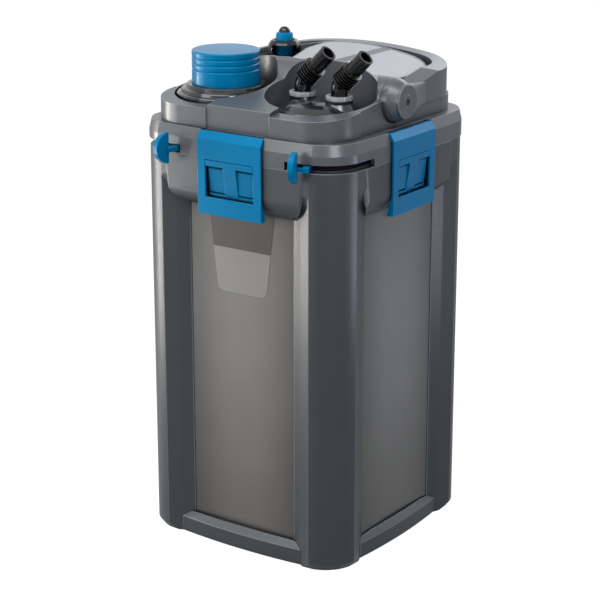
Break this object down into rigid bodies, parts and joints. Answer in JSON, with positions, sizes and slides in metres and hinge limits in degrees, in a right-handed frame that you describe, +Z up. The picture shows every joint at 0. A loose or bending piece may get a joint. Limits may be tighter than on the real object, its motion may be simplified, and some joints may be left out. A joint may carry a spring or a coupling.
{
  "type": "canister filter",
  "caption": "Tall external aquarium canister filter with a latched pump head, carry handle, pull-out prefilter, heater and swivelling hose nozzles.",
  "frame": {"origin": "centre of the underside of the rubber feet", "axes": "+X right along the front face, -Y out of the front face, +Z up"},
  "size_m": [0.2848, 0.3143, 0.5692],
  "materials": {
    "smoke_tank": "smoked polypropylene, injection moulded, smooth satin",
    "post_plastic": "dark grey ABS, fine moulded texture",
    "head_plastic": "grey ABS, satin moulded surface",
    "inner_plastic": "black-grey polypropylene, plain moulded",
    "rubber": "moulded rubber, matte",
    "blue_plastic": "blue ABS, semi-gloss moulded",
    "cover_plastic": "light grey ABS, fine spark-eroded texture",
    "strip_plastic": "dark grey ABS, plain moulded",
    "gloss_black": "black polycarbonate, glossy moulded",
    "ring_plastic": "mid grey ABS, satin",
    "foam_blue": "open-cell polyurethane filter foam, coarse",
    "foam_orange": "open-cell polyurethane filter foam, fine",
    "bio_media": "bed of sintered rings, shown as one block",
    "steel": "stainless steel, drawn wire and turned pins",
    "ceramic": "ground ceramic shaft and white moulded impeller",
    "magnet": "coated ferrite rotor",
    "titanium": "titanium heater sheath, satin"
  },
  "bodies": {
    "canister": {"tank": "smoke_tank", "outer_frame": "post_plastic", "base_tray": "head_plastic", "foot_pads": "rubber", "basket_1": "inner_plastic", "basket_2": "inner_plastic", "basket_3": "inner_plastic", "basket_4": "inner_plastic", "foam_coarse": "foam_blue", "foam_fine": "foam_orange", "bio_media": "bio_media", "head_seal": "rubber", "head_floor": "inner_plastic", "head_base": "head_plastic", "head_cover": "head_plastic", "pump_cover_left": "cover_plastic", "pump_cover_right": "cover_plastic", "pump_cover_strip": "strip_plastic", "pump_housing": "inner_plastic", "intake_plate": "inner_plastic", "pump_stator": "inner_plastic", "pump_shaft": "ceramic", "shaft_bushes": "rubber", "outlet_duct": "inner_plastic", "inlet_duct": "inner_plastic", "connector_socket": "inner_plastic", "prefilter_tube": "inner_plastic", "heater_shroud": "gloss_black", "heater_scale": "blue_plastic", "heater_rod": "titanium", "pivot_pins": "steel", "latch_pins": "steel"},
    "handle": {"handle": "head_plastic"},
    "latch_front": {"latch_front": "blue_plastic"},
    "latch_right": {"latch_right": "blue_plastic"},
    "latch_back": {"latch_back": "blue_plastic"},
    "latch_left": {"latch_left": "blue_plastic"},
    "link_front": {"link_front": "blue_plastic"},
    "link_right": {"link_right": "blue_plastic"},
    "link_back": {"link_back": "blue_plastic"},
    "link_left": {"link_left": "blue_plastic"},
    "connector_lever": {"connector_lever": "blue_plastic"},
    "prefilter_lever": {"prefilter_lever": "blue_plastic"},
    "connector": {"connector_body": "head_plastic", "connector_seals": "rubber", "union_rings": "ring_plastic"},
    "nozzle_out": {"nozzle_out": "gloss_black"},
    "nozzle_in": {"nozzle_in": "gloss_black"},
    "prefilter": {"prefilter_lid": "head_plastic", "prefilter_cage": "inner_plastic", "prefilter_foam": "foam_blue", "prefilter_seal": "rubber"},
    "primer": {"primer_cap": "blue_plastic", "primer_spring": "steel"},
    "heater_dial": {"heater_knob": "blue_plastic", "heater_cap": "gloss_black"},
    "rotor": {"impeller": "ceramic", "rotor_magnet": "magnet"}
  },
  "joints": [
    {"name": "handle_pivot", "type": "hinge", "parent": "canister", "child": "handle", "pos_m": [0, -0.011, 0.511], "axis": [1, 0, 0], "range_deg": [0, 76]},
    {"name": "latch_front_pivot", "type": "hinge", "parent": "canister", "child": "latch_front", "pos_m": [0, -0.1375, 0.4775], "axis": [-1, 0, 0], "range_deg": [0, 90]},
    {"name": "link_front_pivot", "type": "hinge", "parent": "latch_front", "child": "link_front", "pos_m": [0, -0.1432, 0.4485], "axis": [-1, 0, 0], "range_deg": [-30, 2]},
    {"name": "latch_right_pivot", "type": "hinge", "parent": "canister", "child": "latch_right", "pos_m": [0.1335, 0, 0.4775], "axis": [0, -1, 0], "range_deg": [0, 90]},
    {"name": "link_right_pivot", "type": "hinge", "parent": "latch_right", "child": "link_right", "pos_m": [0.1392, 0, 0.4485], "axis": [0, -1, 0], "range_deg": [-30, 2]},
    {"name": "latch_back_pivot", "type": "hinge", "parent": "canister", "child": "latch_back", "pos_m": [0, 0.1375, 0.4775], "axis": [1, 0, 0], "range_deg": [0, 90]},
    {"name": "link_back_pivot", "type": "hinge", "parent": "latch_back", "child": "link_back", "pos_m": [0, 0.1432, 0.4485], "axis": [1, 0, 0], "range_deg": [-30, 2]},
    {"name": "latch_left_pivot", "type": "hinge", "parent": "canister", "child": "latch_left", "pos_m": [-0.1335, 0, 0.4775], "axis": [0, 1, 0], "range_deg": [0, 90]},
    {"name": "link_left_pivot", "type": "hinge", "parent": "latch_left", "child": "link_left", "pos_m": [-0.1392, 0, 0.4485], "axis": [0, 1, 0], "range_deg": [-30, 2]},
    {"name": "connector_lever_turn", "type": "hinge", "parent": "canister", "child": "connector_lever", "pos_m": [0.057, -0.056, 0.457], "axis": [0, 0, 1], "range_deg": [0, 45]},
    {"name": "prefilter_lever_turn", "type": "hinge", "parent": "canister", "child": "prefilter_lever", "pos_m": [-0.0635, -0.065, 0.457], "axis": [0, 0, 1], "range_deg": [-60, 0]},
    {"name": "connector_lift", "type": "slide", "parent": "canister", "child": "connector", "axis": [0, 0, 1], "range_m": [0, 0.05]},
    {"name": "nozzle_out_swivel", "type": "hinge", "parent": "connector", "child": "nozzle_out", "pos_m": [0.0807, -0.056, 0.51], "axis": [0, 0, 1], "range_deg": [-100, 100]},
    {"name": "nozzle_in_swivel", "type": "hinge", "parent": "connector", "child": "nozzle_in", "pos_m": [0.0333, -0.056, 0.51], "axis": [0, 0, 1], "range_deg": [-100, 100]},
    {"name": "prefilter_lift", "type": "slide", "parent": "canister", "child": "prefilter", "axis": [0, 0, 1], "range_m": [0, 0.17]},
    {"name": "primer_press", "type": "slide", "parent": "prefilter", "child": "primer", "axis": [0, 0, -1], "range_m": [0, 0.016], "stiffness_N_per_m": 400, "springref_m": -0.004, "deforming": ["primer_spring"]},
    {"name": "heater_dial_turn", "type": "hinge", "parent": "canister", "child": "heater_dial", "pos_m": [-0.068, 0.052, 0.549], "axis": [0, 0, 1], "range_deg": [0, 240]},
    {"name": "impeller_spin", "type": "hinge", "parent": "canister", "child": "rotor", "pos_m": [0.02, 0.055, 0.45], "axis": [0, 0, 1], "continuous": true}
  ],
  "couplings": [
    {"joint": "link_front_pivot", "follows": "latch_front_pivot", "ratio": -0.3},
    {"joint": "link_right_pivot", "follows": "latch_right_pivot", "ratio": -0.3},
    {"joint": "link_back_pivot", "follows": "latch_back_pivot", "ratio": -0.3},
    {"joint": "link_left_pivot", "follows": "latch_left_pivot", "ratio": -0.3}
  ]
}
